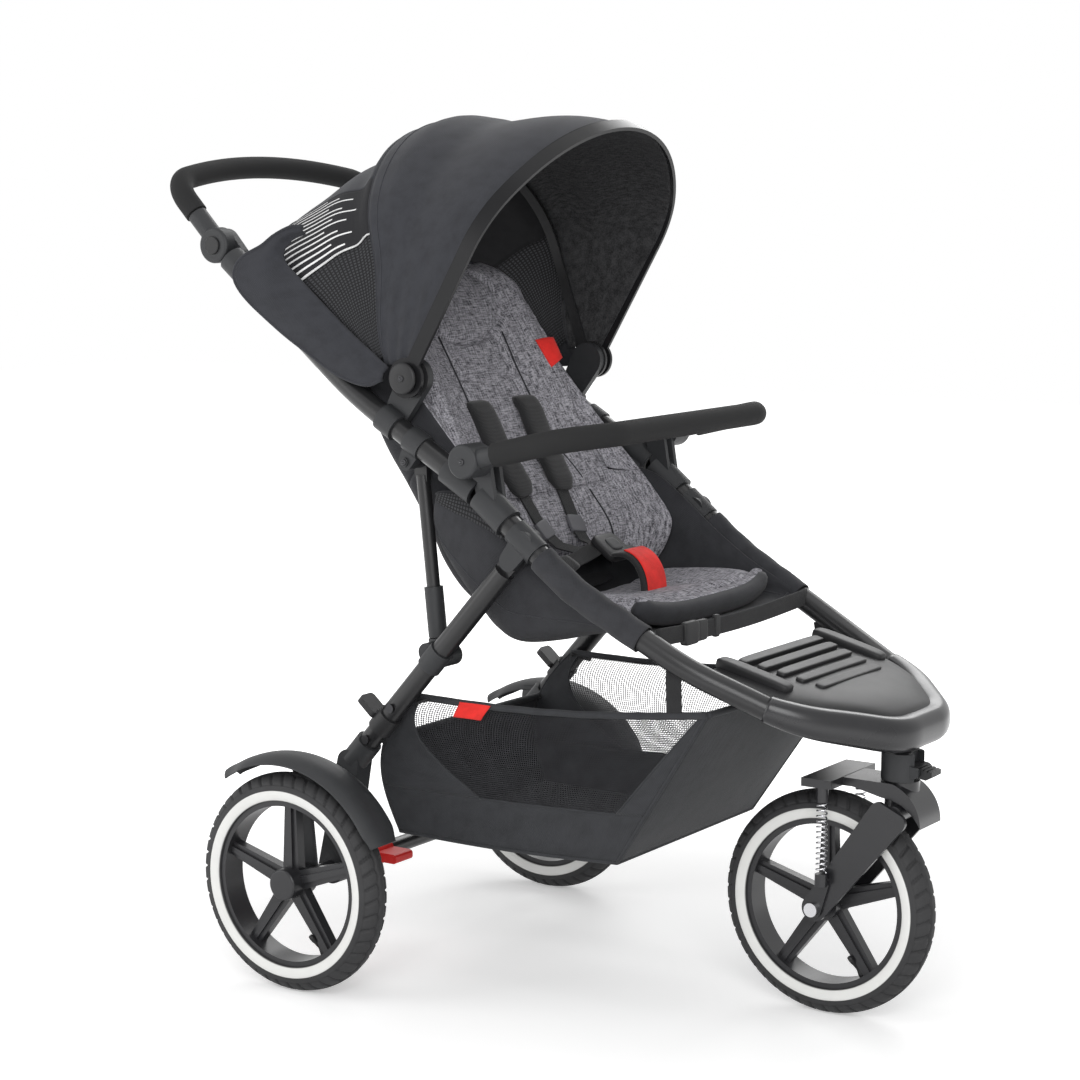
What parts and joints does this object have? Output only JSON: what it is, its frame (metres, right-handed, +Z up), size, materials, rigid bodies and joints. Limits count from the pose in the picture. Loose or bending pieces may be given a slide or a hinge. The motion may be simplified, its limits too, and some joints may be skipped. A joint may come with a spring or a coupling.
{
  "type": "baby stroller",
  "caption": "Folding three-wheeled baby stroller with a hooped canopy, reclining padded seat, bumper bar, under-seat basket, sprung swivel front wheel and tilting foam handle.",
  "frame": {"origin": "on the ground under the middle of the overall box", "axes": "+X forward, +Y to the child's left, +Z up"},
  "size_m": [1.082, 0.674, 1.1387],
  "materials": {
    "lower_frame_tube": "satin black powder coat",
    "fold_castings_lower": "fine matte moulding",
    "leg_sockets": "fine matte moulding",
    "nose_cover": "fine matte moulding",
    "swivel_housing": "fine matte moulding",
    "seat_bucket": "woven polyester",
    "seat_cushion": "woven polyester",
    "lower_back_pad": "woven polyester",
    "tube_sleeves": "woven polyester",
    "crotch_strap": "woven polyester",
    "harness_buckle": "fine matte moulding",
    "waist_straps": "woven polyester",
    "calf_strap": "woven polyester",
    "basket": "woven polyester",
    "upper_tube_left": "satin black powder coat",
    "upper_tube_right": "satin black powder coat",
    "fold_castings_upper": "fine matte moulding",
    "canopy_clips": "fine matte moulding",
    "strut_brackets": "fine matte moulding",
    "handle_sockets": "fine matte moulding",
    "canopy_rear_panel": "woven polyester",
    "canopy_side_flaps": "woven polyester",
    "backrest_pad": "woven polyester",
    "backrest_board": "fine matte moulding",
    "shoulder_pads": "woven polyester",
    "canopy_mid_rib": "fine matte moulding",
    "canopy_mid_panel": "woven polyester",
    "canopy_front_bow": "smooth semi-gloss moulding",
    "canopy_front_panel": "woven polyester",
    "handle_bar": "satin anodised",
    "handle_grip": "closed-cell foam",
    "handle_knuckles": "fine matte moulding",
    "handle_button_right": "fine matte moulding",
    "handle_button_left": "fine matte moulding",
    "leg_tube_left": "satin black powder coat",
    "leg_tube_right": "satin black powder coat",
    "axle_housings": "fine matte moulding",
    "rear_axle": "satin black powder coat",
    "strut_seats": "fine matte moulding",
    "leg_paddles": "fine matte moulding",
    "leg_bolts": "bright plated",
    "mudguard_left": "fine matte moulding",
    "mudguard_right": "fine matte moulding",
    "strut_tubes": "satin anodised",
    "strut_sleeves": "fine matte moulding",
    "bumper_bar": "satin anodised",
    "bumper_grip": "closed-cell foam",
    "bumper_hubs": "fine matte moulding",
    "fork_crown": "fine matte moulding",
    "front_springs": "bright plated",
    "swing_arms": "fine matte moulding",
    "front_axle": "bright plated",
    "front_tyre": "matte moulded rubber",
    "front_rim": "smooth semi-gloss moulding",
    "rear_tyre_right": "matte moulded rubber",
    "rear_rim_right": "smooth semi-gloss moulding",
    "rear_tyre_left": "matte moulded rubber",
    "rear_rim_left": "smooth semi-gloss moulding",
    "swivel_lock_lever": "fine matte moulding",
    "brake_pedal": "fine matte moulding"
  },
  "bodies": {
    "lower_frame": {"lower_frame_tube": "lower_frame_tube", "fold_castings_lower": "fold_castings_lower", "leg_sockets": "leg_sockets", "nose_cover": "nose_cover", "swivel_housing": "swivel_housing", "seat_bucket": "seat_bucket", "seat_cushion": "seat_cushion", "lower_back_pad": "lower_back_pad", "tube_sleeves": "tube_sleeves", "crotch_strap": "crotch_strap", "harness_buckle": "harness_buckle", "waist_straps": "waist_straps", "calf_strap": "calf_strap", "basket": "basket"},
    "upper_frame": {"upper_tube_left": "upper_tube_left", "upper_tube_right": "upper_tube_right", "fold_castings_upper": "fold_castings_upper", "canopy_clips": "canopy_clips", "strut_brackets": "strut_brackets", "handle_sockets": "handle_sockets", "canopy_rear_panel": "canopy_rear_panel", "canopy_side_flaps": "canopy_side_flaps"},
    "backrest": {"backrest_pad": "backrest_pad", "backrest_board": "backrest_board", "shoulder_pads": "shoulder_pads"},
    "mid_rib": {"canopy_mid_rib": "canopy_mid_rib", "canopy_mid_panel": "canopy_mid_panel"},
    "front_bow": {"canopy_front_bow": "canopy_front_bow", "canopy_front_panel": "canopy_front_panel"},
    "handle": {"handle_bar": "handle_bar", "handle_grip": "handle_grip", "handle_knuckles": "handle_knuckles"},
    "handle_button_right": {"handle_button_right": "handle_button_right"},
    "handle_button_left": {"handle_button_left": "handle_button_left"},
    "rear_legs": {"leg_tube_left": "leg_tube_left", "leg_tube_right": "leg_tube_right", "axle_housings": "axle_housings", "rear_axle": "rear_axle", "strut_seats": "strut_seats", "leg_paddles": "leg_paddles", "leg_bolts": "leg_bolts", "mudguard_left": "mudguard_left", "mudguard_right": "mudguard_right"},
    "struts": {"strut_tubes": "strut_tubes", "strut_sleeves": "strut_sleeves"},
    "bumper": {"bumper_bar": "bumper_bar", "bumper_grip": "bumper_grip", "bumper_hubs": "bumper_hubs"},
    "front_fork": {"fork_crown": "fork_crown", "front_springs": "front_springs"},
    "front_swing_arm": {"swing_arms": "swing_arms", "front_axle": "front_axle"},
    "front_wheel": {"front_tyre": "front_tyre", "front_rim": "front_rim"},
    "rear_wheel_right": {"rear_tyre_right": "rear_tyre_right", "rear_rim_right": "rear_rim_right"},
    "rear_wheel_left": {"rear_tyre_left": "rear_tyre_left", "rear_rim_left": "rear_rim_left"},
    "swivel_lock": {"swivel_lock_lever": "swivel_lock_lever"},
    "brake": {"brake_pedal": "brake_pedal"}
  },
  "joints": [
    {"name": "frame_fold", "type": "hinge", "parent": "lower_frame", "child": "upper_frame", "pos_m": [0.008, 0, 0.711], "axis": [0, 1, 0], "range_deg": [0, 140]},
    {"name": "rear_leg_fold", "type": "hinge", "parent": "lower_frame", "child": "rear_legs", "pos_m": [0.051, 0, 0.584], "axis": [0, 1, 0], "range_deg": [0, 70]},
    {"name": "strut_swing", "type": "hinge", "parent": "upper_frame", "child": "struts", "pos_m": [-0.113, 0, 0.7], "axis": [0, 1, 0], "range_deg": [-78, 0]},
    {"name": "mid_rib_fold", "type": "hinge", "parent": "upper_frame", "child": "mid_rib", "pos_m": [-0.105, 0, 0.809], "axis": [0, 1, 0], "range_deg": [-40, 0]},
    {"name": "canopy_fold", "type": "hinge", "parent": "mid_rib", "child": "front_bow", "pos_m": [-0.105, 0, 0.809], "axis": [0, 1, 0], "range_deg": [-40, 0]},
    {"name": "bumper_swing", "type": "hinge", "parent": "lower_frame", "child": "bumper", "pos_m": [0.008, 0, 0.711], "axis": [0, 1, 0], "range_deg": [0, 52]},
    {"name": "recline", "type": "hinge", "parent": "upper_frame", "child": "backrest", "pos_m": [-0.08, 0, 0.66], "axis": [0, 1, 0], "range_deg": [-25, 0]},
    {"name": "handle_tilt", "type": "hinge", "parent": "upper_frame", "child": "handle", "pos_m": [-0.425, 0, 0.974], "axis": [0, 1, 0], "range_deg": [-60, 45]},
    {"name": "handle_button_right_press", "type": "slide", "parent": "handle", "child": "handle_button_right", "axis": [0, 1, 0], "range_m": [0, 0.003], "stiffness_N_per_m": 800, "springref_m": -0.001},
    {"name": "handle_button_left_press", "type": "slide", "parent": "handle", "child": "handle_button_left", "axis": [0, -1, 0], "range_m": [0, 0.003], "stiffness_N_per_m": 800, "springref_m": -0.001},
    {"name": "front_swivel", "type": "hinge", "parent": "lower_frame", "child": "front_fork", "pos_m": [0.494, 0, 0.336], "axis": [0, 0, 1], "continuous": true},
    {"name": "front_suspension", "type": "hinge", "parent": "front_fork", "child": "front_swing_arm", "pos_m": [0.5, 0, 0.28], "axis": [0, 1, 0], "range_deg": [0, 6.5], "stiffness_Nm_per_rad": 120, "springref_deg": -14.32, "deforming": ["front_springs"]},
    {"name": "front_wheel_spin", "type": "hinge", "parent": "front_swing_arm", "child": "front_wheel", "pos_m": [0.395, 0, 0.146], "axis": [0, 1, 0], "continuous": true},
    {"name": "rear_wheel_right_spin", "type": "hinge", "parent": "rear_legs", "child": "rear_wheel_right", "pos_m": [-0.235, -0.306, 0.146], "axis": [0, 1, 0], "continuous": true},
    {"name": "rear_wheel_left_spin", "type": "hinge", "parent": "rear_legs", "child": "rear_wheel_left", "pos_m": [-0.235, 0.306, 0.146], "axis": [0, 1, 0], "continuous": true},
    {"name": "swivel_lock_lift", "type": "hinge", "parent": "lower_frame", "child": "swivel_lock", "pos_m": [0.518, 0, 0.332], "axis": [0, 1, 0], "range_deg": [-12, 0]},
    {"name": "brake_press", "type": "hinge", "parent": "rear_legs", "child": "brake", "pos_m": [-0.235, -0.128, 0.146], "axis": [0, 1, 0], "range_deg": [-14, 14]}
  ],
  "couplings": [
    {"joint": "rear_leg_fold", "follows": "frame_fold", "ratio": 0.48571},
    {"joint": "strut_swing", "follows": "frame_fold", "ratio": -0.53857},
    {"joint": "mid_rib_fold", "follows": "frame_fold", "ratio": -0.27143},
    {"joint": "bumper_swing", "follows": "frame_fold", "ratio": 0.35714}
  ]
}
